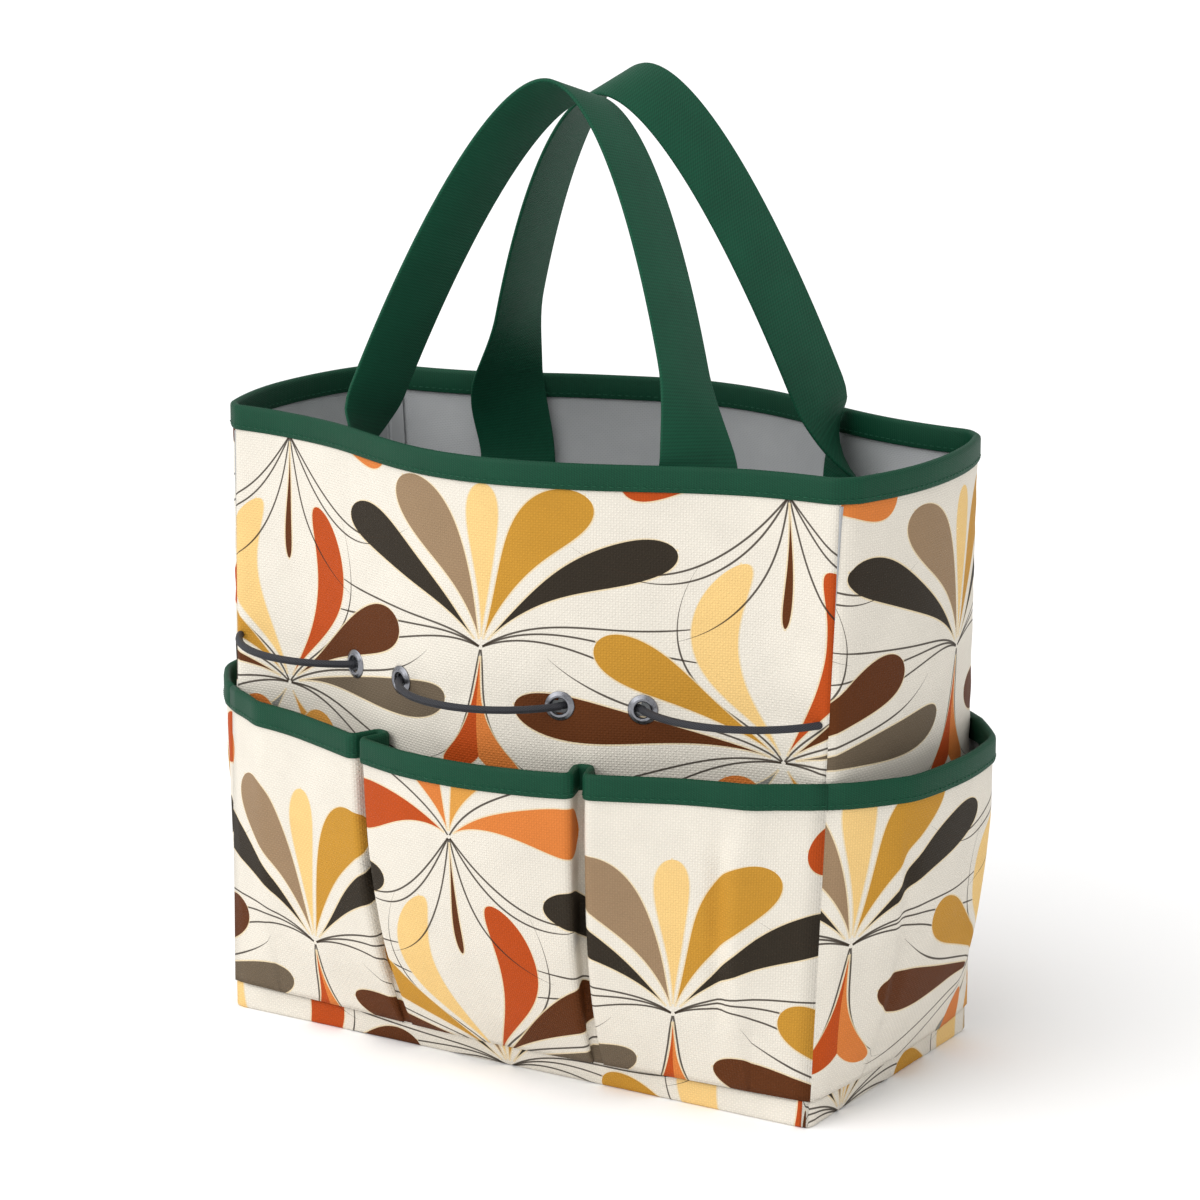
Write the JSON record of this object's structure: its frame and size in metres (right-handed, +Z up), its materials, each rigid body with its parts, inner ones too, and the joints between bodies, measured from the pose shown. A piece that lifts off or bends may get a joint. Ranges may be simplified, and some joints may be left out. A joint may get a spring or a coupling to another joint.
{
  "type": "garden tool bag",
  "caption": "Open-topped canvas garden tote with outer tool pockets, elastic tool loops through metal eyelets, bound edges and two webbing carry handles.",
  "frame": {"origin": "on the floor under the middle of the bag", "axes": "+Z up, +X along the bag's length, -Y towards the front"},
  "size_m": [0.396, 0.2644, 0.4637],
  "materials": {
    "printed_canvas": "matt coated canvas, cream with a printed retro leaf pattern",
    "binding_tape": "deep green ribbed tape, folded and stitched",
    "handle_webbing": "deep green woven webbing",
    "eyelet_metal": "gunmetal plated, satin",
    "elastic_cord": "dark grey braided elastic",
    "seam_tape": "light grey woven tape",
    "base_board": "plain stiffening board",
    "lining": "light grey coated cloth"
  },
  "bodies": {
    "bag": {"back_cord_inner_runs": "elastic_cord", "back_eyelet_washers": "eyelet_metal", "back_eyelets": "eyelet_metal", "back_handle_tails": "handle_webbing", "back_panel": "printed_canvas", "back_pocket_binding": "binding_tape", "back_pocket_panel": "printed_canvas", "base_board": "base_board", "bottom_lining": "lining", "bottom_panel": "printed_canvas", "bottom_seam_tape": "seam_tape", "corner_tape_back_left": "seam_tape", "corner_tape_front_right": "seam_tape", "corner_tape_left_front": "seam_tape", "corner_tape_right_back": "seam_tape", "front_cord_inner_runs": "elastic_cord", "front_eyelet_washers": "eyelet_metal", "front_eyelets": "eyelet_metal", "front_handle_tails": "handle_webbing", "front_panel": "printed_canvas", "front_pocket_binding": "binding_tape", "front_pocket_panel": "printed_canvas", "left_pocket_binding": "binding_tape", "left_pocket_panel": "printed_canvas", "left_side_panel": "printed_canvas", "right_pocket_binding": "binding_tape", "right_pocket_panel": "printed_canvas", "right_side_panel": "printed_canvas", "rim_binding": "binding_tape"},
    "back_handle": {"back_handle": "handle_webbing"},
    "back_loop_centre": {"back_loop_centre": "elastic_cord"},
    "back_loop_left": {"back_loop_left": "elastic_cord"},
    "back_loop_right": {"back_loop_right": "elastic_cord"},
    "front_handle": {"front_handle": "handle_webbing"},
    "front_loop_centre": {"front_loop_centre": "elastic_cord"},
    "front_loop_left": {"front_loop_left": "elastic_cord"},
    "front_loop_right": {"front_loop_right": "elastic_cord"}
  },
  "joints": [
    {"name": "front_handle_swing", "type": "hinge", "parent": "bag", "child": "front_handle", "pos_m": [0, -0.082, 0.302], "axis": [1, 0, 0], "range_deg": [0, 105]},
    {"name": "back_handle_swing", "type": "hinge", "parent": "bag", "child": "back_handle", "pos_m": [0, 0.082, 0.302], "axis": [-1, 0, 0], "range_deg": [0, 105]},
    {"name": "front_loop_left_lift", "type": "hinge", "parent": "bag", "child": "front_loop_left", "pos_m": [-0.12058, -0.08143, 0.188], "axis": [-0.9782, 0.2076, 0], "range_deg": [-30, 40], "stiffness_Nm_per_rad": 0.005},
    {"name": "front_loop_centre_lift", "type": "hinge", "parent": "bag", "child": "front_loop_centre", "pos_m": [0, -0.10437, 0.188], "axis": [-1, 0, 0], "range_deg": [-30, 40], "stiffness_Nm_per_rad": 0.005},
    {"name": "front_loop_right_lift", "type": "hinge", "parent": "bag", "child": "front_loop_right", "pos_m": [0.12058, -0.08143, 0.188], "axis": [-0.9782, -0.2076, 0], "range_deg": [-30, 40], "stiffness_Nm_per_rad": 0.005},
    {"name": "back_loop_left_lift", "type": "hinge", "parent": "bag", "child": "back_loop_left", "pos_m": [0.12058, 0.08143, 0.188], "axis": [0.9782, -0.2076, 0], "range_deg": [-30, 40], "stiffness_Nm_per_rad": 0.005},
    {"name": "back_loop_centre_lift", "type": "hinge", "parent": "bag", "child": "back_loop_centre", "pos_m": [0, 0.10437, 0.188], "axis": [1, 0, 0], "range_deg": [-30, 40], "stiffness_Nm_per_rad": 0.005},
    {"name": "back_loop_right_lift", "type": "hinge", "parent": "bag", "child": "back_loop_right", "pos_m": [-0.12058, 0.08143, 0.188], "axis": [0.9782, 0.2076, 0], "range_deg": [-30, 40], "stiffness_Nm_per_rad": 0.005}
  ]
}
